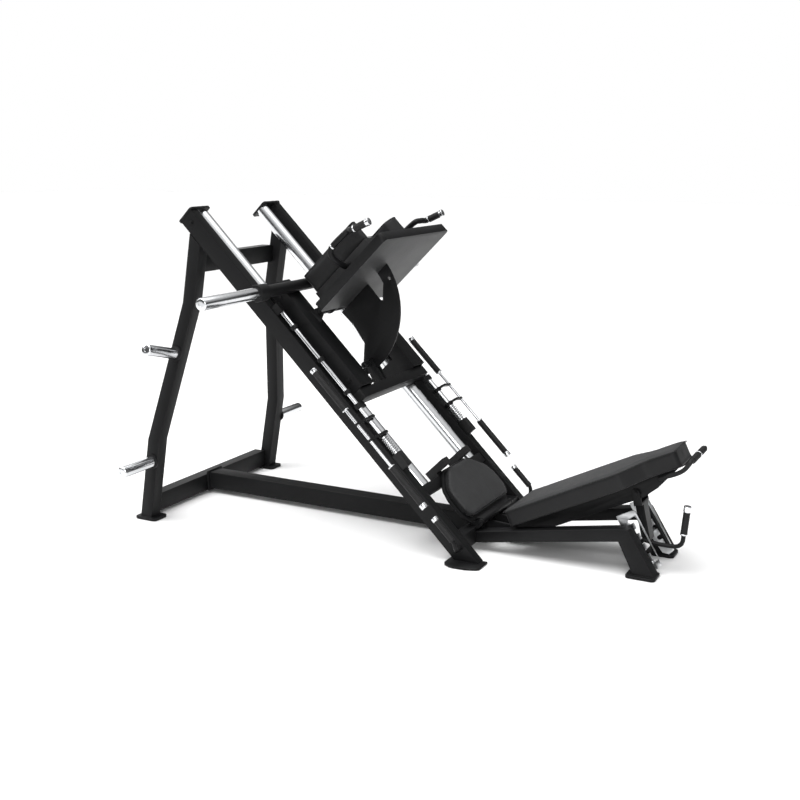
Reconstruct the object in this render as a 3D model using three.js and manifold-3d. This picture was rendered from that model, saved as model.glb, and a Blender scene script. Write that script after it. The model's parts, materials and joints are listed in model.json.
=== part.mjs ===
// Plate-loaded 45 degree leg press and hack squat machine. Millimetres, +Z up, floor at z = 0.
// +X points from the tall rear posts to the head of the bench; the user's left is -Y.
// "Slope" coordinates are used for all that lies along the rails: s runs down the rails and h stands
// square to them. The slope group turns them into x and z.
import * as THREE from 'three';
import { mergeVertices } from 'three/addons/utils/BufferGeometryUtils.js';
import Module from 'manifold-3d';

const wasm = await Module();
wasm.setup();

// ---- driving dimensions ----
const GAP = 0.3;
const CENTRE_X = 8.5; // from the middle of the footprint to the origin of the dimensions below
const WALL = 4;
const SLOPE_ORIGIN = [-933.75, 0, 1385];
const SLOPE_ANGLE = Math.PI / 4;
const SIDES = { left: -1, right: 1 };
const ROUND = 16;

const RAIL = { inner: 297, outer: 344, top: -8, bottom: -84, start: -2 };
const END_PLATE = { s0: -10, s1: 0, h0: -94, h1: 0, inner: 207, outer: 346 };
const FOOT_THICK = 12;
const GUIDE = { y: 235, h: -45, r: 30, bore: 26, s0: 0.3, s1: 1544.7, facets: 24 };
const POST = { inner: 288, outer: 348, footInner: 440, footOuter: 500, knee: 378, shoulder: 975, top: 1330 };
const POST_FACE = { x: -1110, lean: 0.175, depth: 60.9 };
const CROSS = { depth: 60, topX: -948, topZ: [1103, 1182], baseX: -1132, baseZ: [15, 95] };
const SPINE = { half: 40, z0: 22, z1: 104 };
const FRONT_BEAM = { x0: 292, x1: 342, z0: 30, z1: 100 };
const SEAT_SIDE = { inner: 118, outer: 178 };
const BUMPER = { inner: 80, outer: 130 };
const LOWER_TUBE = { s0: 1545, s1: 1590, h0: -60, h1: -13 };

const ROD = { y: 325, h: 12, r: 10, s0: 610, s1: 1379.5, collar: 17, washer: 19 };
const ROD_COLLARS = [695, 875, 1053, 1200, 1285];
const SAFETY_ARMS = [{ s: 1200, lift: 0 }, { s: 1285, lift: 1.3 }];
const BAR = { y: 437, h: 20, r: 6.5, s0: 915, s1: 1629, gripR: 14.5, upper: [911, 1128], lower: [1420, 1633] };
const SPRING = { s0: 1296, s1: 1379, mean: 15, wire: 2.5, coils: 8 };
const BLOCK = { s0: 1380, s1: 1450, inner: 308, outer: 342, h1: 30 };

const SLED = { inner: 190, outer: 290, h0: 2, h1: 68, s0: 490, s1: 1070 };
const HOUSING = { inner: 197, outer: 273, h0: -85, h1: 4, length: 90, s: [498, 972], clear: 0.5 };
const CROSS_TUBE = { s: 545, r: 25, collar: 35, collarFrom: 467, end: 531 };
const HORN = { r: 25, loadEnd: 892, storeLength: 203 };
const LOWER_CROSS = { s1: 1115, h0: -10, h1: 50 };
const HINGE = { s: 697, h: 100, shaft: 15, boss: 20, end: 226 };

const BOARD = { s0: 683, s1: 723, half: 298, h0: 137, h1: 578, corner: 22, plate: 8, rim: 5 };
const CARRIER = { s0: 622.3, half: 200, h0: 125, h1: 470 };
const BACK_PAD = { s0: 562, half: 126, h0: 125, h1: 400 };
const SHOULDER_PAD = { s0: 527, inner: 130, outer: 196, h0: 125, h1: 470, chamfer: 34 };
const BOARD_HANDLE_R = 13;
const SECTOR = { y: -60, thick: 12, s: 673, h: 72, r: 337 };
const SECTOR_WINDOW = [[700, 276], [795, 272], [812, 273], [822, 282], [806, 298], [772, 336], [745, 343], [700, 348]];
const LOCK = { s: 974, h: 45, r: 7, travel: 24 };

const SEAT = { s0: 1536, s1: 1788, under: -7, face: 5, top: 30, hingeS: 1808, hingeH: 18 };
const SEAT_EAR = { inner: 150, outer: 165 };
const BENCH = { x: 453, z: 66, rise: Math.atan(0.49), top: 101.5, under: 29.2, start: 45, end: 811 };
const STRUT = {
  p: 574, q: -15, inner: 41, outer: 50, eye: 15, half: 17, tubeY: 30, axleX: 1018, axleZ: 122, axleR: 9,
};
const STRUT_BRIDGE = [43, 53]; // along the strut, below its upper pivot
const RACK = { inner: 90, outer: 98, stepX: 0.534, stepZ: -0.845, pitch: 45 };

// ---- materials ----
const finish = (color, roughness, metalness) => new THREE.MeshStandardMaterial({ color, roughness, metalness });
const blackPaint = () => finish(0x1f2023, 0.45, 0.3);
const platePaint = () => finish(0x55575a, 0.5, 0.3);
const chrome = () => finish(0xd9dadc, 0.12, 1);
const zinc = () => finish(0xc4c6c8, 0.35, 0.9);
const rubber = () => finish(0x151515, 0.8, 0);
const vinyl = () => finish(0x3a3b3d, 0.6, 0);
const springSteel = () => finish(0xc9cacc, 0.25, 0.9);

// ---- shapes ----
function outline(points) {
  return new THREE.Shape(points.map(([a, b]) => new THREE.Vector2(a, b)));
}

function arc(cx, cy, r, from, to, steps) {
  return Array.from({ length: steps + 1 }, (_, i) => {
    const turn = THREE.MathUtils.degToRad(from + ((to - from) * i) / steps);
    return [cx + r * Math.cos(turn), cy + r * Math.sin(turn)];
  });
}

const rounded = (x0, y0, x1, y1, r) => [
  ...arc(x1 - r, y0 + r, r, -90, 0, 4),
  ...arc(x1 - r, y1 - r, r, 0, 90, 4),
  ...arc(x0 + r, y1 - r, r, 90, 180, 4),
  ...arc(x0 + r, y0 + r, r, 180, 270, 4),
];

// An outline in x and z (or s and h), made solid between two values of y.
function slabXZ(points, y0, y1) {
  const low = Math.min(y0, y1);
  const high = Math.max(y0, y1);
  const solid = new THREE.ExtrudeGeometry(outline(points), { depth: high - low, bevelEnabled: false });
  return solid.rotateX(Math.PI / 2).translate(0, high, 0);
}

// An outline in x and y, made solid between two heights.
function slabXY(points, z0, z1) {
  const solid = new THREE.ExtrudeGeometry(outline(points), { depth: z1 - z0, bevelEnabled: false });
  return solid.translate(0, 0, z0);
}

// An outline in y and z (or y and h), made solid between two values of x.
function slabYZ(points, x0, x1) {
  const solid = new THREE.ExtrudeGeometry(outline(points), { depth: x1 - x0, bevelEnabled: false });
  return solid.rotateX(Math.PI / 2).rotateZ(Math.PI / 2).translate(x0, 0, 0);
}

function block(x0, x1, y0, y1, z0, z1) {
  const solid = new THREE.BoxGeometry(x1 - x0, Math.abs(y1 - y0), z1 - z0);
  return solid.translate((x0 + x1) / 2, (y0 + y1) / 2, (z0 + z1) / 2);
}

// A turned piece about the X axis: profile points are [along, radius].
function turnedX(profile, facets = ROUND) {
  const solid = new THREE.LatheGeometry(profile.map(([a, r]) => new THREE.Vector2(r, a)), facets);
  return solid.rotateZ(-Math.PI / 2);
}

// A turned piece about the Y axis, pointing away from the middle on the given side.
function turnedY(profile, side = 1, facets = ROUND) {
  const solid = new THREE.LatheGeometry(profile.map(([a, r]) => new THREE.Vector2(r, a)), facets);
  return side > 0 ? solid : solid.rotateZ(Math.PI);
}

const pinY = (x, z, r, y0, y1, facets = ROUND) =>
  new THREE.CylinderGeometry(r, r, Math.abs(y1 - y0), facets).translate(x, (y0 + y1) / 2, z);

const pinX = (x0, x1, y, z, r, facets = ROUND) =>
  new THREE.CylinderGeometry(r, r, x1 - x0, facets).rotateZ(-Math.PI / 2).translate((x0 + x1) / 2, y, z);

function bentRod(points, r, steps, facets = 8) {
  const path = new THREE.CatmullRomCurve3(points.map((p) => new THREE.Vector3(...p)), false, 'centripetal');
  const section = outline(arc(0, 0, r, 0, 360 - 360 / facets, facets - 1));
  return new THREE.ExtrudeGeometry(section, { steps, extrudePath: path, bevelEnabled: false });
}

// ---- booleans ----
function toSolid(geometry) {
  const bare = geometry.clone();
  bare.deleteAttribute('normal');
  bare.deleteAttribute('uv');
  const merged = mergeVertices(bare, 1e-3);
  const index = merged.index.array;
  const kept = [];
  for (let i = 0; i < index.length; i += 3) {
    const corners = [index[i], index[i + 1], index[i + 2]];
    if (new Set(corners).size === 3) kept.push(...corners);
  }
  const vertProperties = new Float32Array(merged.attributes.position.array);
  return new wasm.Manifold(new wasm.Mesh({ numProp: 3, vertProperties, triVerts: new Uint32Array(kept) }));
}

function toGeometry(solid) {
  const mesh = solid.getMesh();
  const geometry = new THREE.BufferGeometry();
  geometry.setAttribute('position', new THREE.BufferAttribute(new Float32Array(mesh.vertProperties), 3));
  geometry.setIndex(new THREE.BufferAttribute(new Uint32Array(mesh.triVerts), 1));
  return geometry;
}

const join = (...pieces) => toGeometry(pieces.map(toSolid).reduce((a, b) => a.add(b)));
const cut = (body, ...tools) => toGeometry(tools.map(toSolid).reduce((a, b) => a.subtract(b), toSolid(body)));

// ---- scene graph ----
const machine = new THREE.Group();
machine.position.x = -CENTRE_X;
const slope = new THREE.Group();
slope.position.set(...SLOPE_ORIGIN);
slope.rotation.y = SLOPE_ANGLE;
const bench = new THREE.Group();
bench.position.set(BENCH.x, 0, BENCH.z);
bench.rotation.y = -BENCH.rise;
machine.add(slope, bench);

function place(parent, name, geometry, material, position = [0, 0, 0]) {
  const mesh = new THREE.Mesh(geometry, material);
  mesh.name = name;
  mesh.position.set(...position);
  parent.add(mesh);
}

// ---- frame ----
// The s of a slope point at height z and offset h.
const slopeS = (z, h) => (SLOPE_ORIGIN[2] - z) * Math.SQRT2 + h;

function rail(side) {
  const low = FOOT_THICK - 2;
  const body = slabXZ([
    [RAIL.start, RAIL.bottom], [slopeS(low, RAIL.bottom), RAIL.bottom],
    [slopeS(low, RAIL.top), RAIL.top], [RAIL.start, RAIL.top],
  ], side * RAIL.inner, side * RAIL.outer);
  const bore = block(-60, 2100, side * (RAIL.inner + WALL), side * (RAIL.outer - WALL),
    RAIL.bottom + WALL, RAIL.top - WALL);
  const endPlate = slabYZ(
    rounded(END_PLATE.inner, END_PLATE.h0, END_PLATE.outer, END_PLATE.h1, 12).map(([y, h]) => [side * y, h]),
    END_PLATE.s0, END_PLATE.s1);
  const rodSocket = block(565, 609, side * 312, side * 338, RAIL.top - 1, 26);
  return join(cut(body, bore), endPlate, rodSocket);
}

// Foot plate under each rail, in machine coordinates.
function railFoot(side) {
  const points = [
    [296, 300], [296, 380], [304, 396], [330, 411], [345, 413], [398, 411], [440, 396], [452, 384], [452, 300],
  ];
  return slabXY(points.map(([x, y]) => [x, side * y]), 0, FOOT_THICK - 2 - GAP);
}

const mirrorSafe = (points, side) => (side > 0 ? points : [...points].reverse());

function rearPost(side) {
  const lean = new THREE.Matrix4().makeShear(0, 0, 0, 0, POST_FACE.lean, 0);
  const tube = (wall, low) => {
    const points = [
      [POST.footInner + wall, low], [POST.footOuter - wall, low], [POST.footOuter - wall, POST.knee],
      [POST.outer - wall, POST.shoulder], [POST.outer - wall, POST.top + wall],
      [POST.inner + wall, POST.top + wall], [POST.inner + wall, POST.shoulder],
      [POST.footInner + wall, POST.knee],
    ];
    const solid = slabYZ(mirrorSafe(points.map(([y, z]) => [side * y, z]), side),
      POST_FACE.x - POST_FACE.depth + wall, POST_FACE.x - wall);
    return solid.applyMatrix4(lean);
  };
  const aboveRail = block(-300, 700, side * 200, side * 600, RAIL.bottom - GAP, 400)
    .rotateY(SLOPE_ANGLE).translate(...SLOPE_ORIGIN);
  const foot = slabXY(mirrorSafe(rounded(-1193, 423, -1076, 515, 18).map(([x, y]) => [x, side * y]), side),
    0, FOOT_THICK);
  return join(cut(tube(0, FOOT_THICK - 2), tube(WALL, -20), aboveRail), foot);
}

function boxTubeY(x0, x1, half, z0, z1) {
  const bore = block(x0 + WALL, x1 - WALL, -half - 5, half + 5, z0 + WALL, z1 - WALL);
  return cut(block(x0, x1, -half, half, z0, z1), bore);
}

function spineBeam() {
  const start = CROSS.baseX + GAP;
  const end = FRONT_BEAM.x0 - GAP;
  const tube = block(start, end, -SPINE.half, SPINE.half, SPINE.z0, SPINE.z1);
  const bore = block(start - 20, end + 20, -SPINE.half + WALL, SPINE.half - WALL,
    SPINE.z0 + WALL, SPINE.z1 - WALL);
  const flange = slabYZ(rounded(-58, 12, 58, 112, 10), start, start + 10);
  return cut(join(tube, flange), bore);
}

// Cross beam at the foot of the rails, with the seat's hinge ears and the bench's pivot ears and pins.
function frontBeam() {
  const { x0, x1, z0, z1 } = FRONT_BEAM;
  const pieces = [boxTubeY(x0, x1, RAIL.inner - GAP, z0, z1)];
  const seatHinge = slopePoint(SEAT.hingeS, SEAT.hingeH);
  for (const side of [-1, 1]) {
    const ear = [[x0 + 2, z1 - 2], [x1 + 6, z1 - 10], ...arc(seatHinge[0], seatHinge[1], 13, -40, 150, 6)];
    pieces.push(slabXZ(ear, side * SEAT_EAR.inner, side * SEAT_EAR.outer));
    const cheek = [[x1 - 2, z0 + 4], ...arc(BENCH.x, BENCH.z, 24, -70, 90, 6), [x1 - 2, z1 - 4]];
    pieces.push(slabXZ(cheek, side * 42, side * 54));
  }
  pieces.push(pinY(seatHinge[0], seatHinge[1], 8, -SEAT_EAR.outer - 4, SEAT_EAR.outer + 4, 16));
  pieces.push(pinY(BENCH.x, BENCH.z, 10, -60, 60, 16));
  return join(...pieces);
}

function slopePoint(s, h) {
  return [SLOPE_ORIGIN[0] + (s + h) * Math.SQRT1_2, SLOPE_ORIGIN[2] + (h - s) * Math.SQRT1_2];
}

function seatSide(side) {
  const start = FRONT_BEAM.x1 + GAP;
  const shell = slabXZ([
    [start, 33], [941, 136], [949, 137], [1013, 10], [1101, 10], [988, 192], [950, 190], [start, 80],
  ], side * SEAT_SIDE.inner, side * SEAT_SIDE.outer);
  const bore = slabXZ([
    [start - 10, 36], [943, 141], [952, 141], [1014, 17], [1092, 17], [985, 187], [952, 185], [start - 10, 74],
  ], side * (SEAT_SIDE.inner + WALL), side * (SEAT_SIDE.outer - WALL));
  const foot = slabXY(mirrorSafe(rounded(984, 98 + GAP, 1103, 194, 16).map(([x, y]) => [x, side * y]), side),
    0, FOOT_THICK);
  return join(cut(shell, bore), foot);
}

// Latch plate with a lane for the strut's axle and five notches along it.
function rackPlate(side) {
  const [y0, y1] = [side * RACK.inner, side * RACK.outer];
  const body = slabXZ([
    [913, 212], [932, 180], [1047, 40], [1060, 24], [1087, 21], [1106, 41], [990, 243], [976, 246],
  ], y0, y1);
  const notch = (i) => [
    STRUT.axleX + i * RACK.pitch * RACK.stepX, STRUT.axleZ + i * RACK.pitch * RACK.stepZ,
  ];
  const laneShift = [16, 14];
  const slot = (from, to, r) => {
    const turn = THREE.MathUtils.radToDeg(Math.atan2(to[1] - from[1], to[0] - from[0]));
    return slabXZ([...arc(...to, r, turn - 90, turn + 90, 6), ...arc(...from, r, turn + 90, turn + 270, 6)],
      side * (RACK.inner - 2), side * (RACK.outer + 2));
  };
  const inLane = (i) => [notch(i)[0] + laneShift[0], notch(i)[1] + laneShift[1]];
  const cuts = [slot(inLane(-2), inLane(1.9), 10)];
  for (let i = -2; i <= 1; i += 1) cuts.push(slot(notch(i), inLane(i), 9.5));
  const spacers = [[948, 172], [1066, 44]].map(([x, z]) =>
    pinY(x, z, 7, side * (RACK.outer - 2), side * (SEAT_SIDE.inner - GAP), 12));
  return join(cut(body, ...cuts), ...spacers);
}

function storageHorn() {
  return turnedY([
    [0, 0], [0, 33], [8, 33], [8, HORN.r], [HORN.storeLength - 4, HORN.r], [HORN.storeLength, HORN.r - 4],
    [HORN.storeLength, 0],
  ]);
}

function placeStorageHorns(side, word) {
  const splay = Math.atan2(POST.footOuter - POST.outer, POST.shoulder - POST.knee);
  const spots = {
    lower: { at: [-1086, POST.footOuter + GAP, 278], tilt: 0 },
    upper: { at: [-1006, 404.6, 755], tilt: splay },
  };
  for (const [level, { at, tilt }] of Object.entries(spots)) {
    const mesh = new THREE.Mesh(storageHorn(), chrome());
    mesh.name = `storage_horn_${level}_${word}`;
    mesh.position.set(at[0], side * at[1], at[2]);
    mesh.rotation.x = side > 0 ? tilt : Math.PI - tilt;
    machine.add(mesh);
  }
}

function bumper(side) {
  return slabXZ([[1500, -60], [1544.7, -60], [1544.7, -15], [1531, -15], [1531, 50], [1500, 50]],
    side * BUMPER.inner, side * BUMPER.outer);
}

function seatHandle(side) {
  const y = (value) => side * value;
  return bentRod([
    [1690, y(420), 12], [1760, y(420), 12.5], [1806, y(420), 12], [1834, y(410), -6], [1842, y(385), -24],
    [1842, y(362), -26], [1842, y(RAIL.outer + GAP), -26],
  ], 8.5, 20);
}

// ---- safety stops ----
function stopRod(side) {
  const profile = [[ROD.s0, 0], [ROD.s0, ROD.r]];
  for (const s of ROD_COLLARS) {
    const r = s === 1285 ? ROD.washer : ROD.collar;
    profile.push([s - 9, ROD.r], [s - 9, r], [s + 9, r], [s + 9, ROD.r]);
  }
  profile.push([ROD.s1, ROD.r], [ROD.s1, 0]);
  const shaft = turnedX(profile, 12);
  const lug = block(LOWER_CROSS.s1 + 0.5, LOWER_CROSS.s1 + 25, -side * 45, side * 12, -7, 7);
  const hub = pinX(LOWER_CROSS.s1 + 0.5, LOWER_CROSS.s1 + 25, 0, 0, ROD.collar, 12);
  return join(shaft, hub, lug);
}

function safetyHandle(side) {
  const [reach, rise] = [BAR.y - ROD.y, BAR.h - ROD.h];
  const arm = [
    [-7, 18], [8, 18], [30, 22], [reach - 6, rise - 6], [reach + 3, rise - 4], [reach + 3, rise + 4],
    [reach - 6, rise + 6], [36, 34], [-7, 30],
  ];
  const arms = SAFETY_ARMS.map(({ s, lift }) => {
    const points = arm.map(([y, h]) => [side * y, h + lift]);
    return slabYZ(mirrorSafe(points, side), s - 5, s + 5);
  });
  return join(pinX(BAR.s0, BAR.s1, side * reach, rise, BAR.r, 12), ...arms);
}

// Grip sleeve on the safety bar, with its outer end closed.
function barGrip([s0, s1], closedAtStart) {
  const inner = BAR.r + GAP;
  const outer = BAR.gripR;
  const length = s1 - s0;
  const cap = 3.6;
  const profile = [
    [0, 0], [0, outer - 4], [4, outer], [length - 2, outer], [length, outer - 2], [length, inner], [cap, inner],
    [cap, 0],
  ];
  const geometry = turnedX(profile, 12);
  return closedAtStart ? geometry : geometry.rotateY(Math.PI).translate(length, 0, 0);
}

function bufferSpring() {
  const turns = SPRING.coils;
  const length = SPRING.s1 - SPRING.s0 - 2 * SPRING.wire - 1;
  const points = Array.from({ length: turns * 8 + 1 }, (_, i) => {
    const turn = (i / 8) * 2 * Math.PI;
    const along = (length * i) / (turns * 8) + SPRING.wire + 0.5;
    return [along, SPRING.mean * Math.cos(turn), SPRING.mean * Math.sin(turn)];
  });
  return bentRod(points, SPRING.wire, turns * 7, 4);
}

// ---- sled ----
function sledBeam(side) {
  const { inner, outer, h0, h1, s0, s1 } = SLED;
  const beam = cut(block(s0, s1, side * inner, side * outer, h0, h1),
    block(s0 - 5, s1 + 5, side * (inner + WALL), side * (outer - WALL), h0 + WALL + 2, h1 - WALL));
  const housings = HOUSING.s.map((s) =>
    block(s, s + HOUSING.length, side * HOUSING.inner, side * HOUSING.outer, HOUSING.h0, HOUSING.h1));
  const bearing = slabXZ([
    [HINGE.s - 34, h1 - 2], [HINGE.s + 34, h1 - 2], ...arc(HINGE.s, HINGE.h, HINGE.boss, 0, 180, 8),
  ], side * 214, side * HINGE.end);
  const guideBore = pinX(s0 - 10, s1 + 10, side * GUIDE.y, GUIDE.h, GUIDE.r + HOUSING.clear, GUIDE.facets);
  const shaftBore = pinY(HINGE.s, HINGE.h, HINGE.shaft + GAP, side * 205, side * 240);
  return cut(join(beam, ...housings, bearing), guideBore, shaftBore);
}

function sledCrossTube() {
  const { r, collar, collarFrom, end } = CROSS_TUBE;
  return turnedY([
    [-end, 0], [-end, collar - 3], [-end + 3, collar], [-collarFrom, collar], [-collarFrom, r], [collarFrom, r],
    [collarFrom, collar], [end - 3, collar], [end, collar - 3], [end, 0],
  ]);
}

function weightHorn(side) {
  const start = CROSS_TUBE.end + GAP;
  return turnedY([
    [start, 0], [start, HORN.r], [HORN.loadEnd - 4, HORN.r], [HORN.loadEnd, HORN.r - 4], [HORN.loadEnd, 0],
  ], side);
}

function sledLowerCross() {
  const start = SLED.s1 + GAP;
  const member = boxTubeY(start, LOWER_CROSS.s1, SLED.outer, LOWER_CROSS.h0, LOWER_CROSS.h1);
  const cheek = [[start + 2, -8], [start + 2, 48], [LOCK.s, 66], ...arc(LOCK.s, LOCK.h, 20, 90, 250, 6)];
  const gap = SECTOR.thick / 2 + 2;
  const cheeks = [[SECTOR.y - gap - 12, SECTOR.y - gap], [SECTOR.y + gap, SECTOR.y + gap + 12]]
    .map(([y0, y1]) => slabXZ(cheek, y0, y1));
  const boss = pinY(LOCK.s, LOCK.h, 15, SECTOR.y - gap - 24, SECTOR.y - gap - 11);
  const bore = pinY(LOCK.s, LOCK.h, LOCK.r + GAP, -120, 0);
  return cut(join(member, ...cheeks, boss), bore);
}

function lockPin() {
  const tip = SECTOR.y - SECTOR.thick / 2 - 0.6;
  return turnedY([
    [-132, 0], [-132, 9], [-128, 14], [-114, 14], [-112, 8], [-106, 8], [-94, LOCK.r], [tip - 3, LOCK.r],
    [tip, 4], [tip, 0],
  ], 1, 12);
}

// ---- tilting board ----
function footPlate() {
  const { s0, s1, half, h0, h1, corner, plate, rim } = BOARD;
  const face = slabYZ(rounded(-half, h0, half, h1, corner), s0, s1);
  const pocket = slabYZ(rounded(-half + rim, h0 + rim, half - rim, h1 - rim, corner - rim), s0 - 5, s1 - plate);
  const pieces = [cut(face, pocket)];
  for (const y of [-150, 138]) {
    pieces.push(slabXZ([
      [s0 + 1, h0 + 60], [s0 + 1, h0 - 10], ...arc(HINGE.s, HINGE.h, HINGE.boss, 180, 360, 8), [s1 - 2, h0 - 10],
      [s1 - 2, h0 + 60],
    ], y, y + 12));
  }
  const bore = pinY(HINGE.s, HINGE.h, HINGE.shaft + GAP, -160, 160);
  return cut(join(...pieces), bore);
}

function sectorPlate() {
  const { y, thick, s, h, r } = SECTOR;
  const face = BOARD.s1 + GAP;
  const faceTurn = THREE.MathUtils.radToDeg(Math.acos((face - s) / r));
  const body = slabXZ([
    [face, 92], [800, 98], [893, 82], [949, 18], [990, -28], ...arc(s, h, r, -15, faceTurn, 20),
  ], y - thick / 2, y + thick / 2);
  const window = slabXZ(SECTOR_WINDOW, y - 20, y + 20);
  const locked = pinY(LOCK.s, LOCK.h, LOCK.r + 0.6, y - 20, y + 20, 12);
  const tilted = pinY(776, 371, LOCK.r + 0.6, y - 20, y + 20, 12);
  return cut(body, window, locked, tilted);
}

// Upright pad at the side of the board's rear face, with its inner top edge cut off.
function shoulderPad(side) {
  const { s0, inner, outer, h0, h1, chamfer } = SHOULDER_PAD;
  const face = [[inner, h0], [outer, h0], [outer, h1], [inner + chamfer, h1], [inner, h1 - chamfer]];
  return slabYZ(mirrorSafe(face.map(([y, h]) => [side * y, h]), side), s0, CARRIER.s0 - GAP);
}

function boardHandle(side) {
  const y = (value) => side * value;
  return bentRod([
    [650, y(CARRIER.half + GAP), 335], [650, y(240), 335], [606, y(288), 342], [577, y(300), 372],
    [580, y(300), 470], [592, y(318), 498], [606, y(337), 516], [634, y(338), 592],
  ], BOARD_HANDLE_R, 24);
}

// ---- seat, bench and strut ----
function seatPan() {
  const { s0, s1, under, face, hingeS, hingeH } = SEAT;
  const half = [
    [s0, 105], [s0 + 62, 190], [s0 + 78, 205], [1660, 222], [1740, 220], [1774, 205], [s1, 186],
  ];
  const plate = slabXY([...half, ...[...half].reverse().map(([s, y]) => [s, -y])], under, face);
  const knuckle = slabXZ([
    [s1 - 24, under + 1], [hingeS, under + 1], ...arc(hingeS, hingeH, 14, -60, 120, 6), [s1 - 12, face - 1],
    [s1 - 24, face - 1],
  ], -146, 146);
  return cut(join(plate, knuckle), pinY(hingeS, hingeH, 8 + GAP, -200, 200, 16));
}

function seatPad() {
  const { s0, s1, face, top } = SEAT;
  const half = [
    [s0 + 4, 100], [s0 + 64, 184], [s0 + 82, 200], [1660, 216], [1730, 214], [s1 - 30, 200], [s1 - 16, 180],
  ];
  return slabXY([...half, ...[...half].reverse().map(([s, y]) => [s, -y])], face + GAP, top);
}

function benchPad() {
  const half = [
    [BENCH.start, 155], [BENCH.start + 15, 170], [560, 170], [580, 164], [668, 100], [690, 95], [795, 95],
    [BENCH.end, 82],
  ];
  return slabXY([...half, ...[...half].reverse().map(([p, y]) => [p, -y])], BENCH.under, BENCH.top);
}

function benchFrame() {
  const top = BENCH.under - GAP;
  const spar = slabXZ([
    [30, -44], [590, -44], [662, -26], [762, 18], [762, top], [46, top], ...arc(0, 0, 26, 90, 250, 8),
  ], -39.5, 39.5);
  const bore = slabXZ([[60, -40], [560, -40], [560, top - WALL], [60, top - WALL]], -35, 35);
  const drain = pinY(300, -8, 6, 20, 60, 12);
  const pivots = [pinY(0, 0, 10 + GAP, -80, 80, 16), pinY(STRUT.p, STRUT.q, 8 + GAP, -80, 80, 16)];
  return cut(spar, bore, drain, ...pivots);
}

function headHandle() {
  const half = [[690, 58, 12], [770, 98, 14], [815, 118, 22], [842, 122, 36], [853, 108, 43]];
  const route = [...half.map(([p, y, q]) => [p, -y, q]), [853, 0, 43],
    ...[...half].reverse().map(([p, y, q]) => [p, y, q])];
  return bentRod(route, 9, 36);
}

// Fork, tube, axle and release lever, in machine coordinates.
function strut() {
  const { p, q, inner, outer, eye, half, tubeY, axleX, axleZ, axleR } = STRUT;
  const top = [BENCH.x + p * Math.cos(BENCH.rise) - q * Math.sin(BENCH.rise),
    BENCH.z + p * Math.sin(BENCH.rise) + q * Math.cos(BENCH.rise)];
  const low = [axleX, axleZ];
  const length = Math.hypot(low[0] - top[0], low[1] - top[1]);
  const down = [(low[0] - top[0]) / length, (low[1] - top[1]) / length];
  // The point a millimetres down the strut from its upper pivot and b across it.
  const at = (a, b) => [top[0] + a * down[0] - b * down[1], top[1] + a * down[1] + b * down[0]];
  const turn = THREE.MathUtils.radToDeg(Math.atan2(-down[1], -down[0]));
  const [bridge0, bridge1] = STRUT_BRIDGE;
  const cheek = [...arc(...top, eye, turn - 90, turn + 90, 6), at(bridge1, -half), at(bridge1, half)];
  const forks = [-1, 1].map((side) => slabXZ(cheek, side * inner, side * outer));
  const bridge = slabXZ([at(bridge0, -half), at(bridge0, half), at(bridge1, half), at(bridge1, -half)],
    -outer, outer);
  const tube = slabXZ([at(bridge1 - 2, -half), at(bridge1 - 2, half), at(length + half, half),
    at(length + half, -half)], -tubeY, tubeY);
  const lever = bentRod([
    [axleX, -62, axleZ], [1060, -62, 115], [1130, -62, 113], [1156, -62, 117], [1171, -62, 132],
    [1176, -62, 172], [1186, -62, 284],
  ], 9, 22);
  return join(...forks, bridge, tube, pinY(...low, axleR, -88, 88, 16), pinY(...top, 8, -56, 56, 16), lever);
}

for (const [word, side] of Object.entries(SIDES)) {
  place(slope, `rail_${word}`, rail(side), blackPaint());
  place(machine, `rail_foot_${word}`, railFoot(side), blackPaint());
  place(slope, `guide_tube_${word}`, turnedX([
    [GUIDE.s0, GUIDE.bore], [GUIDE.s0, GUIDE.r], [GUIDE.s1, GUIDE.r], [GUIDE.s1, GUIDE.bore],
    [GUIDE.s0, GUIDE.bore],
  ], GUIDE.facets), chrome(), [0, side * GUIDE.y, GUIDE.h]);
  place(machine, `rear_post_${word}`, rearPost(side), blackPaint());
  place(machine, `seat_frame_side_${word}`, seatSide(side), blackPaint());
  place(machine, `rack_plate_${word}`, rackPlate(side), zinc());
  place(slope, `stop_bumper_${word}`, bumper(side), rubber());
  place(slope, `seat_handle_${word}`, seatHandle(side), blackPaint());
  place(slope, `buffer_block_${word}`,
    block(BLOCK.s0, BLOCK.s1, side * BLOCK.inner, side * BLOCK.outer, RAIL.top + GAP, BLOCK.h1), rubber());
  place(slope, `buffer_spring_${word}`, bufferSpring(), springSteel(), [SPRING.s0, side * ROD.y, ROD.h]);
  placeStorageHorns(side, word);

  place(slope, `stop_rod_${word}`, stopRod(side), chrome(), [0, side * ROD.y, ROD.h]);
  place(slope, `safety_handle_${word}`, safetyHandle(side), blackPaint(), [0, side * ROD.y, ROD.h]);
  place(slope, `safety_grip_upper_${word}`, barGrip(BAR.upper, true), rubber(),
    [BAR.upper[0], side * BAR.y, BAR.h]);
  place(slope, `safety_grip_lower_${word}`, barGrip(BAR.lower, false), rubber(),
    [BAR.lower[0], side * BAR.y, BAR.h]);

  place(slope, `sled_beam_${word}`, sledBeam(side), blackPaint());
  place(slope, `weight_horn_${word}`, weightHorn(side), chrome(),
    [CROSS_TUBE.s, 0, SLED.h1 + CROSS_TUBE.r + GAP]);
  place(slope, `board_handle_${word}`, boardHandle(side), blackPaint());
  place(slope, `shoulder_pad_${word}`, shoulderPad(side), vinyl());
}

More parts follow.
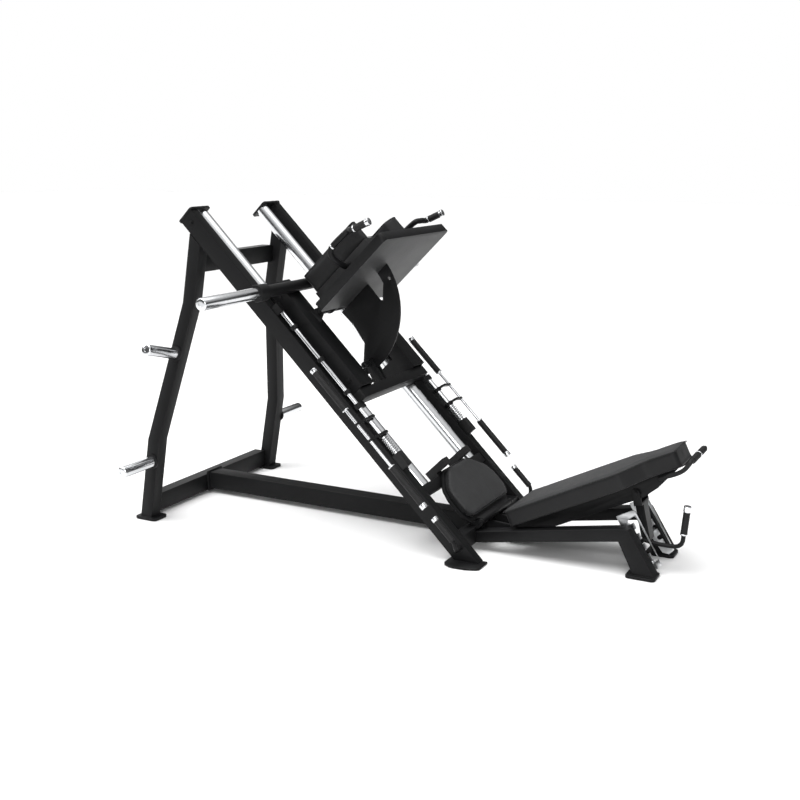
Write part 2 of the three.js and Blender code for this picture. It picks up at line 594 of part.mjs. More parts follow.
place(machine, 'top_cross_member',
  boxTubeY(CROSS.topX - CROSS.depth, CROSS.topX, POST.inner - GAP, ...CROSS.topZ), blackPaint());
place(machine, 'bottom_cross_member',
  boxTubeY(CROSS.baseX - CROSS.depth, CROSS.baseX, POST.footInner - GAP, ...CROSS.baseZ), blackPaint());
place(machine, 'spine_beam', spineBeam(), blackPaint());
place(machine, 'front_beam', frontBeam(), blackPaint());
place(slope, 'lower_cross_tube',
  boxTubeY(LOWER_TUBE.s0, LOWER_TUBE.s1, RAIL.inner - GAP, LOWER_TUBE.h0, LOWER_TUBE.h1), blackPaint());

place(slope, 'sled_cross_tube', sledCrossTube(), blackPaint(),
  [CROSS_TUBE.s, 0, SLED.h1 + CROSS_TUBE.r + GAP]);
place(slope, 'sled_lower_cross', sledLowerCross(), blackPaint());
place(slope, 'board_hinge_shaft', pinY(0, 0, HINGE.shaft, -HINGE.end, HINGE.end), zinc(),
  [HINGE.s, 0, HINGE.h]);
place(slope, 'tilt_lock_pin', lockPin(), zinc(), [LOCK.s, 0, LOCK.h]);

place(slope, 'foot_plate', footPlate(), platePaint());
place(slope, 'back_pad_carrier',
  block(CARRIER.s0, BOARD.s0 - GAP, -CARRIER.half, CARRIER.half, CARRIER.h0, CARRIER.h1), blackPaint());
place(slope, 'back_pad',
  block(BACK_PAD.s0, CARRIER.s0 - GAP, -BACK_PAD.half, BACK_PAD.half, BACK_PAD.h0, BACK_PAD.h1), vinyl());
place(slope, 'sector_plate', sectorPlate(), blackPaint());

place(slope, 'seat_pan', seatPan(), blackPaint());
place(slope, 'seat_pad', seatPad(), vinyl());
place(bench, 'bench_frame', benchFrame(), blackPaint());
place(bench, 'bench_pad', benchPad(), vinyl());
place(bench, 'head_handle', headHandle(), rubber());
place(machine, 'bench_strut', strut(), blackPaint());

export default machine;
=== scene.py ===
# Leg press machine: finishes, upholstery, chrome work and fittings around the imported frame.
# Blender's unit is the metre. Sizes here are millimetres, times MM, unless a comment says metres.
import json
import math

import bmesh
import bpy
import numpy as np
from mathutils import Matrix, Vector


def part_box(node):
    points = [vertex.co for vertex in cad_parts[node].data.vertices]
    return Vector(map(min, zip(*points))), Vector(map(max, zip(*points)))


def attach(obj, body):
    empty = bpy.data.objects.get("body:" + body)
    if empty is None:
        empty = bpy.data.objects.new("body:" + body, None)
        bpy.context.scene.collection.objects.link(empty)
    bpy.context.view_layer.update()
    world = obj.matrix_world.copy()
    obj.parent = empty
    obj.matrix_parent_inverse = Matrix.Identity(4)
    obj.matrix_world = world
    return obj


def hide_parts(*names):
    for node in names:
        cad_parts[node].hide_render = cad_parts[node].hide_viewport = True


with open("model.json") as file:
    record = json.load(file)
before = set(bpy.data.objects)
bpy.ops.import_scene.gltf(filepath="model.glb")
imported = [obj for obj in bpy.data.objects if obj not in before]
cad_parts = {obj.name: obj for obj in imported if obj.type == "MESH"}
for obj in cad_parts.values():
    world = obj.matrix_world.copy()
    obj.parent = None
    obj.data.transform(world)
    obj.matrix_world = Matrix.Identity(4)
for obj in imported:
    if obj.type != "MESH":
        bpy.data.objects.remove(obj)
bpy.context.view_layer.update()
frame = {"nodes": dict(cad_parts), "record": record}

# ---- driving dimensions: s down the rails, y across, h square to the rails; p and q the same on the bench ----
MM = 0.001
SIDES = {"left": -1, "right": 1}
SLOPE_ORIGIN = Vector((-942.25, 0, 1385)) * MM
BENCH_ORIGIN = Vector((444.5, 0, 66)) * MM
BENCH_RISE = math.atan(0.49)
ROUND = 48
GUIDE = {"y": 235, "h": -45, "r": 30, "bore": 26, "s0": 0.3, "s1": 1544.7}
ROD = {"y": 325, "h": 12, "r": 10, "s0": 610, "s1": 1379.5}
ROD_COLLARS = {695: 17, 875: 17, 1053: 17, 1200: 17, 1285: 19}
COLLAR = {"length": 18, "edge": 1.5}
HUB = {"s0": 1115.5, "length": 24.5, "r": 17}
LUG = {"y": (-45, 5), "half": 7}
BAR = {"y": 437, "h": 20, "r": 6.5, "s0": 915, "s1": 1629}
SAFETY_GRIP = {"r": 14.5, "upper": (911, 1128), "lower": (1420, 1633)}
GRIP_RINGS = {"upper": ((-3, 17), (-5, 6)), "lower": ((-1, 6), (-19, 22))}  # shift from each end, length
SAFETY_ARMS = {"half": 5, "lift_at": {1200: 0, 1285: 1.3}}
SPRING = {"s0": 1297, "s1": 1378, "mean": 15, "wire": 2.4, "coils": 8}
CROSS = {"s": 545, "h": 93.3, "r": 25, "collar": 35, "collar_from": 467, "end": 531}
HORN = {"r": 25, "load_end": 892, "store_length": 203, "flange": 8, "flange_r": 33}
HORN_NOSE = ((-5, 0), (-3.4, -0.7), (-0.6, -3.4), (0, -4.4))  # from the edge of the horn's end
HORN_CENTRE = ((0, 9), (-2, 8), (-2, 3))  # from its end, radius
POST_SPLAY = math.atan2(152, 597)
STORE = {"lower": ((-1094.5, 500.3, 278), 0), "upper": ((-1014.5, 404.6, 755), POST_SPLAY)}
LEVER_GRIP = {"foot": (1167.5, -62, 172), "lean": (10, 0, 124), "length": 112, "r": 14, "cap": 22}
BOARD_HANDLE = {"r": 12.6, "inner": 200.3, "grip_r": 15, "collar_r": 14.2}
SEAT_HANDLE = {"y": 420, "r": 8.5, "inner": 344.3, "grip_from": 1688, "grip": 116, "grip_r": 13, "grip_h": 12.1}
HEAD_HANDLE = {"p": 853, "q": 43, "r": 9, "grip_from": 5, "grip": 92, "grip_r": 13.5}
BEVEL = {"tube": 2.2, "fine": 1.2, "plug": 0.6}
RIB = {"depth": 0.9, "lip": 7, "edge": 2.5}
SPAN_STEPS = 10
BOLTS = {"rail": (40, 344, -46), "sled": ((545, 290, 36), (1015, 290, 36)), "shaft": (697, 226, 100)}
BOARD_BOLTS = {"s": 682.6, "y": 262, "h": (200, 500)}
PLUG_STEPS = ((0, 0), (2.4, 0), (3.4, 0.12), (3.4, 0.3), (2.6, 0.34))  # out of the tube, share drawn in
CROSS_PLUG = {"y": 290.2, "s": (1071.5, 1113.5), "h": (-8.5, 48.5)}
BEAM_PLUG = {"s": 489.8, "y": (191.5, 288.5), "h": (3.5, 66.5)}

# Upholstery, in metres
SHRINK = 0.986
HELD = 0.012  # height over which a pad comes free of its board
CLOTH = {"pressure": 4, "tension": 25, "bending": 2, "frames": 20}
WELT = {"r": 0.0017, "drop": 0.0045, "inset": 0.0028, "corner": 0.022, "corner_share": 0.45, "pull": 0.0025}

# Studio, in metres and watts: place, size, power
LAMPS = {"key": ((2.5, -5.0, 2.6), 3.0, 120), "fill": ((-5, -2, 3.5), 3.0, 90), "top": ((0, 0.5, 6.0), 4.5, 60),
         "back": ((-5, 4, 2.5), 3.0, 40)}
LAMP_TARGET = Vector((0, 0, 0.5))
SUN = {"energy": 2.6, "spread": 48, "turn": (18, -12)}
CAMERA = {"place": (2.0974, -4.2364, 1.6399), "down": 12.733, "turn": 27.548, "lens": 50.264, "sensor": 36}


def slope(s, y, h):
    """A point s down the rails, y across and h square to them, all in millimetres."""
    c = math.sqrt(0.5) * MM
    return SLOPE_ORIGIN + Vector(((s + h) * c, y * MM, (h - s) * c))


DOWN = (slope(1, 0, 0) - slope(0, 0, 0)).normalized()
SQUARE = (slope(0, 0, 1) - slope(0, 0, 0)).normalized()
BENCH_ALONG = Vector((math.cos(BENCH_RISE), 0, math.sin(BENCH_RISE)))
BENCH_UP = Vector((-math.sin(BENCH_RISE), 0, math.cos(BENCH_RISE)))


def bench(p, y, q):
    """A point p along the bench from its pivot, y across and q square to it, in millimetres."""
    return BENCH_ORIGIN + (BENCH_ALONG * p + Vector((0, y, 0)) + BENCH_UP * q) * MM


# ---- materials ----
class Finish:
    """A procedural material: a Principled shader with noise that varies its colour, roughness and bump."""

    def __init__(self, name, color, roughness, metallic=0.0, specular=0.5, sheen=0.0):
        self.material = bpy.data.materials.new(name)
        self.material.use_nodes = True
        self.tree = self.material.node_tree
        self.shader = self.tree.nodes["Principled BSDF"]
        self.color, self.roughness = color, roughness
        for socket, value in (("Metallic", metallic), ("Specular IOR Level", specular),
                              ("Sheen Weight", sheen), ("Sheen Roughness", 0.5)):
            self.shader.inputs[socket].default_value = value
        self.coords = self.tree.nodes.new("ShaderNodeTexCoord").outputs["Object"]
        self.bump = None

    def node(self, kind, **inputs):
        made = self.tree.nodes.new(kind)
        for key, value in inputs.items():
            socket = made.inputs[key.replace("_", " ")]
            if isinstance(value, bpy.types.NodeSocket):
                self.tree.links.new(value, socket)
            else:
                socket.default_value = value
        return made

    def noise(self, scale, detail, stretch=None):
        coords = self.coords
        if stretch:
            coords = self.node("ShaderNodeMapping", Vector=coords, Scale=stretch).outputs["Vector"]
        return self.node("ShaderNodeTexNoise", Vector=coords, Scale=scale, Detail=detail).outputs["Fac"]

    def cells(self, scale):
        return self.node("ShaderNodeTexVoronoi", Vector=self.coords, Scale=scale).outputs["Distance"]

    def mottle(self, scale, spread):
        """Colour that drifts by a share either way, as a coating or a hide does."""
        ramp = self.tree.nodes.new("ShaderNodeValToRGB")
        self.tree.links.new(self.noise(scale, 4.0), ramp.inputs["Fac"])
        ends = ((0.3, 1 - spread), (0.7, 1 + spread))
        for element, (place, gain) in zip(ramp.color_ramp.elements, ends):
            element.position = place
            element.color = (*[min(1.0, c * gain) for c in self.color], 1)
        self.tree.links.new(ramp.outputs["Color"], self.shader.inputs["Base Color"])
        return self

    def rough(self, scale, spread, stretch=None):
        noise = self.noise(scale, 4.0, stretch)
        ranged = self.node("ShaderNodeMapRange", Value=noise, To_Min=self.roughness - spread,
                           To_Max=self.roughness + spread)
        self.tree.links.new(ranged.outputs["Result"], self.shader.inputs["Roughness"])
        return self

    def relief(self, height, strength, distance):
        made = self.node("ShaderNodeBump", Height=height, Strength=strength, Distance=distance)
        if self.bump:
            self.tree.links.new(self.bump, made.inputs["Normal"])
        self.bump = made.outputs["Normal"]
        self.tree.links.new(self.bump, self.shader.inputs["Normal"])
        return self


def powder_coat(name, color, roughness, specular):
    made = Finish(name, color, roughness, specular=specular)
    made.mottle(7, 0.12).rough(9, 0.05)
    made.relief(made.noise(900, 2.0), 0.18, 0.0006).relief(made.noise(60, 2.0), 0.05, 0.002)
    return made.material


def plated(name, color, roughness, grain):
    made = Finish(name, color, roughness, metallic=1.0)
    made.mottle(12, 0.04).rough(40, roughness * 0.35, (1, 1, 12))
    made.relief(made.noise(220, 3.0, (1, 1, 18)), grain, 0.0004)
    return made.material


def vinyl(name, color, roughness):
    made = Finish(name, color, roughness, specular=0.2, sheen=0.04)
    made.mottle(14, 0.08).rough(25, 0.06)
    made.relief(made.cells(520), 0.22, 0.0008).relief(made.noise(35, 4.0), 0.10, 0.003)
    return made.material


def rubber(name, color, roughness):
    made = Finish(name, color, roughness, specular=0.3)
    made.mottle(30, 0.15).rough(50, 0.06)
    made.relief(made.noise(700, 3.0), 0.25, 0.0006)
    return made.material


def coated_board(name, color):
    made = Finish(name, color, 0.55, specular=0.3)
    made.mottle(18, 0.2).rough(20, 0.08)
    made.relief(made.noise(120, 5.0, (1, 1, 9)), 0.15, 0.0008)
    return made.material


MATERIALS = {
    "black_paint": powder_coat("black_powder_coat", (0.0065, 0.0066, 0.007), 0.46, 0.16),
    # Lighter coat: on the foot plate's face it is a painted highlight for the light that face catches
    "plate_paint": powder_coat("plate_coat_and_painted_highlight", (0.036, 0.0364, 0.037), 0.52, 0.2),
    "chrome": plated("polished_chrome", (0.7, 0.71, 0.725), 0.17, 0.02),
    "zinc": plated("zinc_plate", (0.62, 0.63, 0.64), 0.34, 0.08),
    "spring_steel": plated("spring_steel", (0.36, 0.365, 0.37), 0.3, 0.06),
    "black_rubber": rubber("black_rubber", (0.0075, 0.0075, 0.0078), 0.62),
    "carrier_board": coated_board("coated_plywood", (0.009, 0.009, 0.0095)),
    "black_vinyl": vinyl("black_vinyl", (0.0085, 0.0085, 0.009), 0.5),
    "grey_vinyl": vinyl("grey_vinyl", (0.027, 0.0273, 0.028), 0.6),
}


# ---- mesh tools ----
def make(name, mesh, body, slot, *replaced):
    """A finished piece from a bmesh: smooth, on its body, in its slot, standing for the CAD nodes named."""
    bmesh.ops.recalc_face_normals(mesh, faces=mesh.faces)
    data = bpy.data.meshes.new(name)
    mesh.to_mesh(data)
    mesh.free()
    piece = bpy.data.objects.new(name, data)
    bpy.context.scene.collection.objects.link(piece)
    data.materials.append(MATERIALS[slot])
    data.shade_smooth()
    data.set_sharp_from_angle(angle=math.radians(38))
    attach(piece, body)
    if replaced:
        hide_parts(*replaced)
    return piece


def frame_along(direction):
    side = direction.orthogonal().normalized()
    return side, direction.cross(side).normalized()


def add_ring(mesh, centre, side, up, r, count=ROUND):
    turns = (2 * math.pi * i / count for i in range(count))
    return [mesh.verts.new(centre + (side * math.cos(t) + up * math.sin(t)) * r) for t in turns]


def bridge(mesh, a, b):
    for i in range(len(a)):
        j = (i + 1) % len(a)
        mesh.faces.new((a[i], a[j], b[j], b[i]))


def add_turned(mesh, start, direction, profile, count=ROUND):
    """A turned form from start along direction; the profile is (along, radius) in millimetres."""
    direction = direction.normalized()
    side, up = frame_along(direction)
    rings = [add_ring(mesh, start + direction * a * MM, side, up, r * MM, count) for a, r in profile]
    for a, b in zip(rings, rings[1:]):
        bridge(mesh, a, b)
    if profile[0] == profile[-1]:
        bmesh.ops.remove_doubles(mesh, verts=rings[0] + rings[-1], dist=1e-7)
    else:
        mesh.faces.new(rings[0])
        mesh.faces.new(rings[-1])


def turned(name, start, direction, profile, body, slot, *replaced):
    mesh = bmesh.new()
    add_turned(mesh, start, direction, profile)
    return make(name, mesh, body, slot, *replaced)


def soft_edges(length, r, edge=2.0):
    """The profile of a plain bar with its ends' edges rounded."""
    turn = [math.radians(a) for a in (0, 30, 60, 90)]
    head = [(edge - edge * math.cos(t), r - edge + edge * math.sin(t)) for t in turn]
    return head + [(length - a, radius) for a, radius in reversed(head)]


def smooth_path(points):
    """A Catmull-Rom curve through the points."""
    points = [Vector(p) for p in points]
    ghost = [points[0] * 2 - points[1], *points, points[-1] * 2 - points[-2]]
    route = []
    for i in range(len(points) - 1):
        p0, p1, p2, p3 = ghost[i:i + 4]
        for k in range(SPAN_STEPS):
            t = k / SPAN_STEPS
            route.append(0.5 * (p1 * 2 + (p2 - p0) * t + (p0 * 2 - p1 * 5 + p2 * 4 - p3) * t ** 2
                                + (p1 * 3 - p0 - p2 * 3 + p3) * t ** 3))
    return route + [points[-1]]


def add_sweep(mesh, route, r, count=24, closed=False):
    """A round bar of radius r metres along the route, with slightly rounded ends."""
    last = len(route) - 1
    ahead = [(route[min(i + 1, last)] - route[max(i - 1, 0)]).normalized() for i in range(last + 1)]
    side = ahead[0].orthogonal().normalized()
    rings = []
    for i, point in enumerate(route):
        side = (side - ahead[i] * side.dot(ahead[i])).normalized()
        up = ahead[i].cross(side)
        if not closed and i in (0, last):
            step = ahead[i] * r * 0.15 * (-1 if i == 0 else 1)
            tip = add_ring(mesh, point, side, up, r * 0.86, count)
            body = add_ring(mesh, point - step, side, up, r, count)
            rings += [tip, body] if i == 0 else [body, tip]
        else:
            rings.append(add_ring(mesh, point, side, up, r, count))
    for a, b in zip(rings, rings[1:]):
        bridge(mesh, a, b)
    if closed:
        bridge(mesh, rings[-1], rings[0])
    else:
        mesh.faces.new(rings[0])
        mesh.faces.new(rings[-1])


def swept(name, points, r, body, slot, *replaced):
    mesh = bmesh.new()
    add_sweep(mesh, smooth_path(points), r * MM)
    return make(name, mesh, body, slot, *replaced)


def ribbed(length, r, pitch=6.5):
    """Profile of a rubber grip: plain rounded lips at its ends and rings of ribs between them."""
    depth, lip = RIB["depth"], RIB["lip"]
    ends = soft_edges(length, r, RIB["edge"])
    profile = ends[:4] + [(lip, r)]
    count = int((length - 2 * lip) / pitch)
    for i in range(count):
        at = lip + (length - 2 * lip) * i / count
        profile += [(at + pitch * 0.2, r - depth), (at + pitch * 0.45, r - depth), (at + pitch * 0.65, r),
                    (at + pitch * 0.95, r)]
    return profile + ends[4:]


def ring(name, start, way, length, r, edge, body):
    """A chrome ring or cap round a grip."""
    turned(name, start, way, soft_edges(length, r, edge), body, "chrome")


def bevel(piece, width):
    edge = piece.modifiers.new("edge", "BEVEL")
    edge.width = width * MM
    edge.segments = 2
    return edge


# ---- carried-over steel: welded, bevelled and painted ----
def dress_frame():
    for entry in frame["record"]["subparts"]:
        node = frame["nodes"][entry["node"]]
        node.data.materials.clear()
        node.data.materials.append(MATERIALS[entry["material_slot"]])
        # The foot plate's face that points down the rails gets the lighter plate coat as a painted highlight;
        # its other faces get black paint
        if entry["node"] == "foot_plate":
            node.data.materials.append(MATERIALS["black_paint"])
            for face in node.data.polygons:
                face.material_index = 0 if face.normal.dot(DOWN) > 0.9 else 1
        node.data.shade_smooth()
        weld = node.modifiers.new("weld", "WELD")
        weld.merge_threshold = 1e-5
        flat = node.modifiers.new("flat", "DECIMATE")
        flat.decimate_type = "DISSOLVE"
        flat.angle_limit = math.radians(1)
        edge = bevel(node, BEVEL["tube" if entry["material_slot"] == "black_paint" else "fine"])
        edge.limit_method = "ANGLE"
        edge.angle_limit = math.radians(50)
        edge.harden_normals = True


# ---- chrome and round steel ----
def guides_and_rods(word, side):
    inner, outer = GUIDE["bore"], GUIDE["r"]
    length = GUIDE["s1"] - GUIDE["s0"]
    tube = [(0, inner), (0, outer - 1), (1, outer),
            (length - 1, outer), (length, outer - 1), (length, inner), (0, inner)]
    turned(f"guide_tube_smooth_{word}", slope(GUIDE["s0"], side * GUIDE["y"], GUIDE["h"]), DOWN, tube,
           "base", "chrome", f"guide_tube_{word}")

    body = f"safety_stop_{word}"
    turned(f"stop_rod_smooth_{word}", slope(ROD["s0"], side * ROD["y"], ROD["h"]), DOWN,
           soft_edges(ROD["s1"] - ROD["s0"], ROD["r"], 1), body, "chrome", f"stop_rod_{word}")
    collars = bmesh.new()
    fitted = [(s - COLLAR["length"] / 2, COLLAR["length"], r) for s, r in ROD_COLLARS.items()]
    for s, length, r in (*fitted, (HUB["s0"], HUB["length"], HUB["r"])):
        add_turned(collars, slope(s, side * ROD["y"], ROD["h"]), DOWN, soft_edges(length, r, COLLAR["edge"]))
    (y0, y1), half = LUG["y"], LUG["half"]
    lug = [slope(s, side * (ROD["y"] + y), ROD["h"] + h) for s in (HUB["s0"], HUB["s0"] + HUB["length"])
           for y, h in ((y0, -half), (y0, half), (y1, half), (y1, -half))]
    corners = [collars.verts.new(p) for p in lug]
    for ids in ((0, 1, 2, 3), (4, 5, 6, 7), (0, 1, 5, 4), (1, 2, 6, 5), (2, 3, 7, 6), (3, 0, 4, 7)):
        collars.faces.new([corners[i] for i in ids])
    make(f"stop_collars_{word}", collars, body, "black_paint")


def horn(name, start, direction, length, body, node):
    """A chrome horn with a chamfered end and a turned centre; one on the base has a black flange."""
    r = HORN["r"]
    profile = [(0, r)] + [(length + a, r + drop) for a, drop in HORN_NOSE]
    profile += [(length + a, radius) for a, radius in HORN_CENTRE]
    if body == "base":
        flange = soft_edges(HORN["flange"], HORN["flange_r"], 1.2)
        turned(f"{name}_flange", start, direction, flange, body, "black_paint")
    turned(name, start, direction, profile, body, "chrome", node)


def horns(word, side):
    outward = Vector((0, side, 0))
    end = CROSS["end"] + 0.3
    horn(f"weight_horn_smooth_{word}", slope(CROSS["s"], side * end, CROSS["h"]), outward,
         HORN["load_end"] - end, "sled", f"weight_horn_{word}")
    for level, ((x, y, z), splay) in STORE.items():
        direction = Vector((0, side * math.cos(splay), math.sin(splay)))
        horn(f"storage_horn_smooth_{level}_{word}", Vector((x, side * y, z)) * MM, direction,
             HORN["store_length"], "base", f"storage_horn_{level}_{word}")


def cross_tube():
    end, collar, inner = CROSS["end"], CROSS["collar"], CROSS["collar_from"]
    edge, step = 3, 2
    half = [(end, collar - edge), (end - edge * 0.3, collar - edge * 0.3), (end - edge, collar),
            (inner + step, collar), (inner, collar - step), (inner, CROSS["r"])]
    profile = [(end - a, radius) for a, radius in half]
    profile += [(end + a, radius) for a, radius in reversed(half)]
    turned("sled_cross_tube_smooth", slope(CROSS["s"], -end, CROSS["h"]), Vector((0, 1, 0)), profile,
           "sled", "black_paint", "sled_cross_tube")


def buffer_spring(word, side):
    turns, per_turn = SPRING["coils"], 20
    length = SPRING["s1"] - SPRING["s0"] - 2 * SPRING["wire"]
    route = []
    for i in range(turns * per_turn + 1):
        turn = 2 * math.pi * i / per_turn
        s = SPRING["s0"] + SPRING["wire"] + length * i / (turns * per_turn)
        y = SPRING["mean"] * math.cos(turn)
        h = SPRING["mean"] * math.sin(turn)
        route.append(slope(s, side * ROD["y"] + y, ROD["h"] + h))
    mesh = bmesh.new()
    add_sweep(mesh, route, SPRING["wire"] * MM, count=10)
    make(f"buffer_spring_smooth_{word}", mesh, "base", "spring_steel", f"buffer_spring_{word}")


# ---- handles and grips ----
def safety_grips(word, side):
    body = f"safety_stop_{word}"
    for level in ("upper", "lower"):
        s0, s1 = SAFETY_GRIP[level]
        r = SAFETY_GRIP["r"]
        start = slope(s0, side * BAR["y"], BAR["h"])
        turned(f"safety_grip_ribbed_{level}_{word}", start, DOWN, ribbed(s1 - s0, r), body,
               "black_rubber", f"safety_grip_{level}_{word}")
        for spot, s, (shift, length) in zip(("top", "bottom"), (s0, s1), GRIP_RINGS[level]):
            ring(f"safety_grip_{spot}_ring_{level}_{word}", slope(s + shift, side * BAR["y"], BAR["h"]), DOWN,
                 length, r + 0.8, 1.8, body)


def safety_handle(word, side):
    """A chrome bar through both grips, on two black arms from the stop rod."""
    body = f"safety_stop_{word}"
    reach = BAR["y"] - ROD["y"]
    turned(f"safety_bar_{word}", slope(BAR["s0"], side * BAR["y"], BAR["h"]), DOWN,
           soft_edges(BAR["s1"] - BAR["s0"], BAR["r"], 1.5), body, "chrome", f"safety_handle_{word}")
    outline = [(-8, 17), (8, 17), (30, 21), (reach - 6, 1), (reach + 6, 0), (reach + 9, 4), (reach + 9, 12),
               (reach + 5, 16), (reach - 6, 15), (37, 34), (30, 36), (-2, 33), (-8, 30)]
    mesh = bmesh.new()
    half = SAFETY_ARMS["half"]
    for middle, lift in SAFETY_ARMS["lift_at"].items():
        faces = [[mesh.verts.new(slope(s, side * (ROD["y"] + y), ROD["h"] + h + lift)) for y, h in outline]
                 for s in (middle - half, middle + half)]
        bridge(mesh, *faces)
        for face in faces:
            mesh.faces.new(face)
    bevel(make(f"safety_arms_{word}", mesh, body, "black_paint"), BEVEL["fine"])


def board_handle(word, side):
    """A bent bar out of the side pad, with a ribbed grip at its end."""
    inner, grip_r = BOARD_HANDLE["inner"], BOARD_HANDLE["grip_r"]
    route = [slope(s, side * y, h) for s, y, h in (
        (650, inner, 335), (650, 240, 335), (606, 288, 342), (577, 300, 372), (580, 300, 470),
        (592, 318, 498), (606, 337, 516), (634, 338, 592))]
    swept(f"board_handle_bar_{word}", route, BOARD_HANDLE["r"], "board", "black_paint", f"board_handle_{word}")
    tip, before = route[-1], route[-2]
    start = before.lerp(tip, 0.12)
    way = tip - start
    back = way.normalized() * MM
    turned(f"board_handle_grip_{word}", start, way, ribbed(way.length / MM, grip_r), "board", "black_rubber")
    ring(f"board_handle_ring_{word}", start - back * 5, way, 6, grip_r + 1, 1.5, "board")
    ring(f"board_handle_cap_{word}", tip - back * 14, way, 17, grip_r + 0.8, 2, "board")
    low, high = route[3], route[4]
    ring(f"board_handle_collar_{word}", low.lerp(high, 0.04), high - low, 7, BOARD_HANDLE["collar_r"], 1.5,
         "board")


def seat_handle(word, side):
    """A short bar beside the seat that turns in to the seat frame, with a grip along it."""
    y, h, s0 = SEAT_HANDLE["y"], SEAT_HANDLE["grip_h"], SEAT_HANDLE["grip_from"]
    route = [slope(s, side * across, up) for s, across, up in (
        (1690, y, 12), (1760, y, 12.5), (1806, y, 12), (1834, 410, -6), (1842, 385, -24),
        (1842, 362, -26), (1842, SEAT_HANDLE["inner"], -26))]
    swept(f"seat_handle_bar_{word}", route, SEAT_HANDLE["r"], "base", "black_paint", f"seat_handle_{word}")
    turned(f"seat_handle_grip_{word}", slope(s0, side * y, h), DOWN,
           ribbed(SEAT_HANDLE["grip"], SEAT_HANDLE["grip_r"]), "base", "black_rubber")
    ring(f"seat_handle_cap_{word}", slope(s0 - 4, side * y, h), DOWN, 18, SEAT_HANDLE["grip_r"] + 0.8, 2,
         "base")


def head_handle():
    """A bar that loops round the head of the bench, with two grips and a ring on its cross piece."""
    p, q, grip_r = HEAD_HANDLE["p"], HEAD_HANDLE["q"], HEAD_HANDLE["grip_r"]
    half = [(690, 58, 12), (770, 98, 14), (815, 118, 22), (842, 122, 36), (p, 108, q)]
    route = [bench(along, -y, up) for along, y, up in half] + [bench(p, 0, q)]
    route += [bench(along, y, up) for along, y, up in reversed(half)]
    swept("head_handle_bar", route, HEAD_HANDLE["r"], "bench", "black_rubber", "head_handle")
    start = HEAD_HANDLE["grip_from"]
    for word, side in SIDES.items():
        turned(f"head_handle_grip_{word}", bench(p, side * start, q), Vector((0, side, 0)),
               ribbed(HEAD_HANDLE["grip"], grip_r), "bench", "black_rubber")
    ring("head_handle_ring", bench(p, -start, q), Vector((0, 1, 0)), 2 * start, grip_r + 1, 1.5, "bench")


def release_lever():
    up = Vector(LEVER_GRIP["lean"]).normalized()
    foot = Vector(LEVER_GRIP["foot"]) * MM
    length, r, cap = LEVER_GRIP["length"], LEVER_GRIP["r"], LEVER_GRIP["cap"]
    turned("lever_grip", foot, up, ribbed(length, r, 5.5), "strut", "black_rubber")
    ring("lever_ring", foot - up * 5 * MM, up, 6, r + 1, 1.5, "strut")
    ring("lever_cap", foot + up * (length - cap) * MM, up, cap + 2, r + 0.9, 2, "strut")


# ---- upholstery ----
def evaluated(piece):
    graph = bpy.context.evaluated_depsgraph_get()
    graph.update()
    return bpy.data.meshes.new_from_object(piece.evaluated_get(graph))


def coordinates(mesh):
    co = np.empty(len(mesh.vertices) * 3)
    mesh.vertices.foreach_get("co", co)
    return co.reshape(-1, 3)


def swell(piece, cap):
    """Blows the pad up a little with a short cloth simulation; no point moves further than cap."""
    start = coordinates(piece.data)
    cloth = piece.modifiers.new("swell", "CLOTH")
    cloth.settings.use_pressure = True
    cloth.settings.uniform_pressure_force = CLOTH["pressure"]
    cloth.settings.effector_weights.gravity = 0
    cloth.settings.tension_stiffness = CLOTH["tension"]
    cloth.settings.bending_stiffness = CLOTH["bending"]
    cloth.point_cache.frame_start = 1
    cloth.point_cache.frame_end = CLOTH["frames"]
    for number in range(1, CLOTH["frames"] + 1):
        bpy.context.scene.frame_set(number)
    blown = evaluated(piece)
    moved = coordinates(blown) - start
    bpy.data.meshes.remove(blown)
    piece.modifiers.remove(cloth)
    bpy.context.scene.frame_set(1)
    length = np.linalg.norm(moved, axis=1, keepdims=True)
    return moved * np.minimum(1, cap / np.maximum(length, 1e-9))


def cushion(name, node, body, slot, outward, side_slot=None, cap=0.005, voxel=0.006, crown=0.0):
    """A padded piece on its board: outward points from the board to the face that is leant on.

    cap, voxel and crown are metres: the most that cloth may move a point, the remesh's step, and the
    height that the face rises in its middle."""
    lo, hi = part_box(node)
    centre = (lo + hi) / 2
    shape = frame["nodes"][node].data.copy()
    shape.transform(Matrix.Translation(centre) @ Matrix.Scale(SHRINK, 4) @ Matrix.Translation(-centre))
    piece = bpy.data.objects.new(name, shape)
    bpy.context.scene.collection.objects.link(piece)
    remesh = piece.modifiers.new("remesh", "REMESH")
    remesh.mode = "VOXEL"
    remesh.voxel_size = voxel
    smooth = piece.modifiers.new("smooth", "SMOOTH")
    smooth.factor = 0.5
    smooth.iterations = 7
    shape = evaluated(piece)
    piece.modifiers.clear()
    piece.data = shape
    co = coordinates(shape)
    out = np.array(outward)
    height = co @ out
    base = height.min()
    free = np.clip((height - base) / HELD, 0, 1)[:, None]
    co = co + swell(piece, cap) * free
    across = Vector((0, 1, 0))
    along = outward.cross(across)
    reach = [(co - np.array(centre)) @ np.array(a) for a in (across, along)]
    bulge = np.prod([1 - (r / np.abs(r).max()) ** 2 for r in reach], axis=0)
    high = np.clip((height - base) / max(height.max() - base, 1e-6), 0, 1)
    co = co + out * (crown * bulge * high)[:, None]
    shape.vertices.foreach_set("co", co.ravel())
    shape.update()
    shape.materials.clear()
    shape.materials.append(MATERIALS[slot])
    if side_slot:
        shape.materials.append(MATERIALS[side_slot])
        for face in shape.polygons:
            face.material_index = 0 if face.normal.dot(outward) > 0.55 else 1
    shape.shade_smooth()
    fine = piece.modifiers.new("fine", "SUBSURF")
    fine.levels = fine.render_levels = 1
    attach(piece, body)
    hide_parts(node)
    seam(f"{name}_seam", node, body, side_slot or slot, outward, centre)


